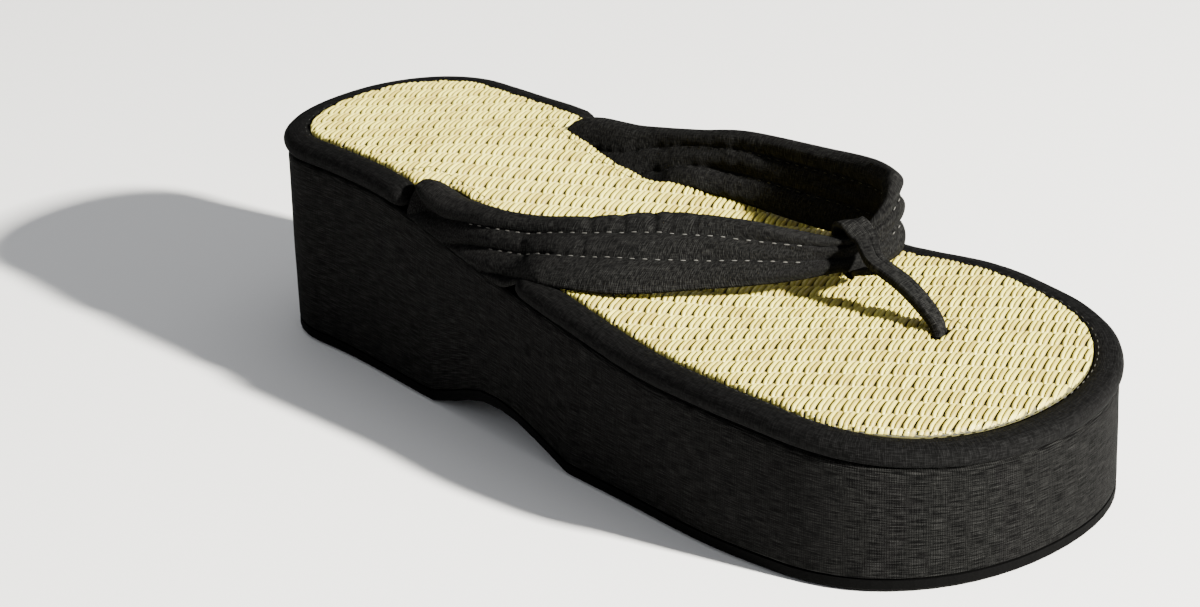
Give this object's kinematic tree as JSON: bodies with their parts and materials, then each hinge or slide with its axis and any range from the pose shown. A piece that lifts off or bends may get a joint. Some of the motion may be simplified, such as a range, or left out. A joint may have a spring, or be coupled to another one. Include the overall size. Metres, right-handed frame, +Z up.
{
  "type": "zori sandal",
  "caption": "Right zori sandal: a black cloth-covered wedge sole, a woven straw mat in a rolled rim, and a wide pleated cloth strap held by a narrow toe post.",
  "frame": {"origin": "on the floor, under the middle of the sole's outline box", "axes": "+X to the toe, +Y to the big toe's side of a right foot, +Z up"},
  "size_m": [0.255, 0.108, 0.067],
  "materials": {
    "black_rubber": "matt black rubber sheet with a fine grid tread",
    "black_cover_cloth": "coarse black cotton, plain weave, glued round the wedge",
    "black_rim_cloth": "smoother black cloth, rolled round the padded edge",
    "woven_straw": "woven rush in short floats, pale straw, slight gloss",
    "black_strap_cloth": "black slub cotton in stitched pleats",
    "black_post_cloth": "black slub cotton, folded strip"
  },
  "bodies": {
    "root": {"outsole": "black_rubber", "wedge_sole": "black_cover_cloth", "footbed": "black_rim_cloth", "straw_mat": "woven_straw", "strap": "black_strap_cloth", "toe_post": "black_post_cloth"}
  },
  "joints": []
}
